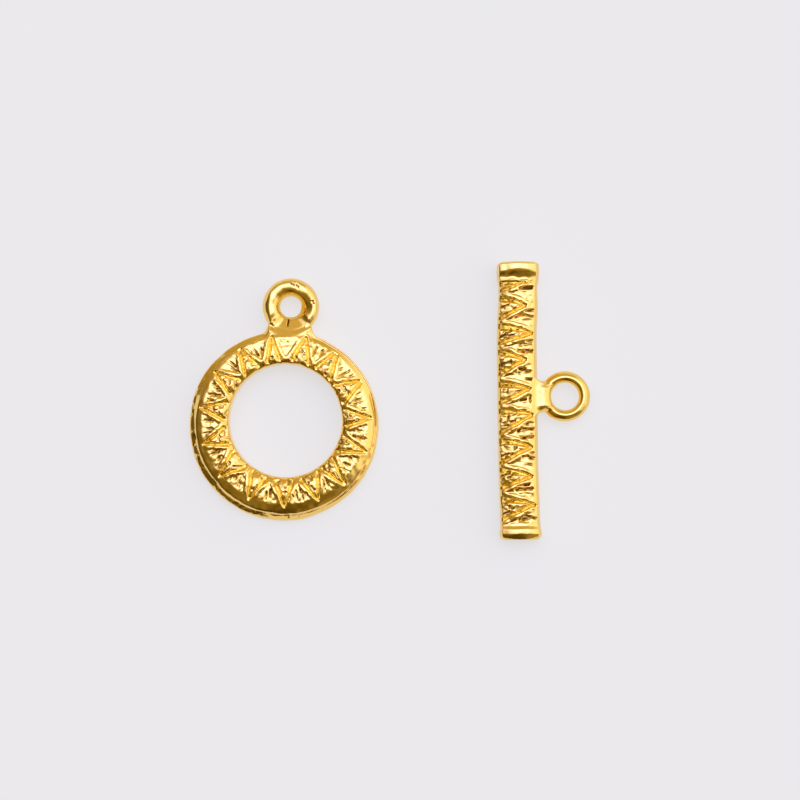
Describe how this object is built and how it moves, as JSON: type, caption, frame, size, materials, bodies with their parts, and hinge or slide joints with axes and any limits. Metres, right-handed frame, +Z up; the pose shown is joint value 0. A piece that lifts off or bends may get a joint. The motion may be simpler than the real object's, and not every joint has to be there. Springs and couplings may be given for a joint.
{
  "type": "toggle clasp",
  "caption": "Cast jewellery toggle clasp lying open: a domed round loop and a straight bar, each one casting with its tie-on eye, fronts in sunk zigzag and hatching.",
  "frame": {"origin": "on the surface that both halves lie on, under the middle of the pair", "axes": "+X from the loop half to the bar half, +Y towards the loop's eye, +Z up out of the patterned fronts"},
  "size_m": [0.0316, 0.022, 0.0022],
  "materials": {
    "gold_plate": "bright gold plate over a cast and tumbled pewter body"
  },
  "bodies": {
    "root": {"toggle_loop": "gold_plate", "toggle_bar": "gold_plate"}
  },
  "joints": []
}
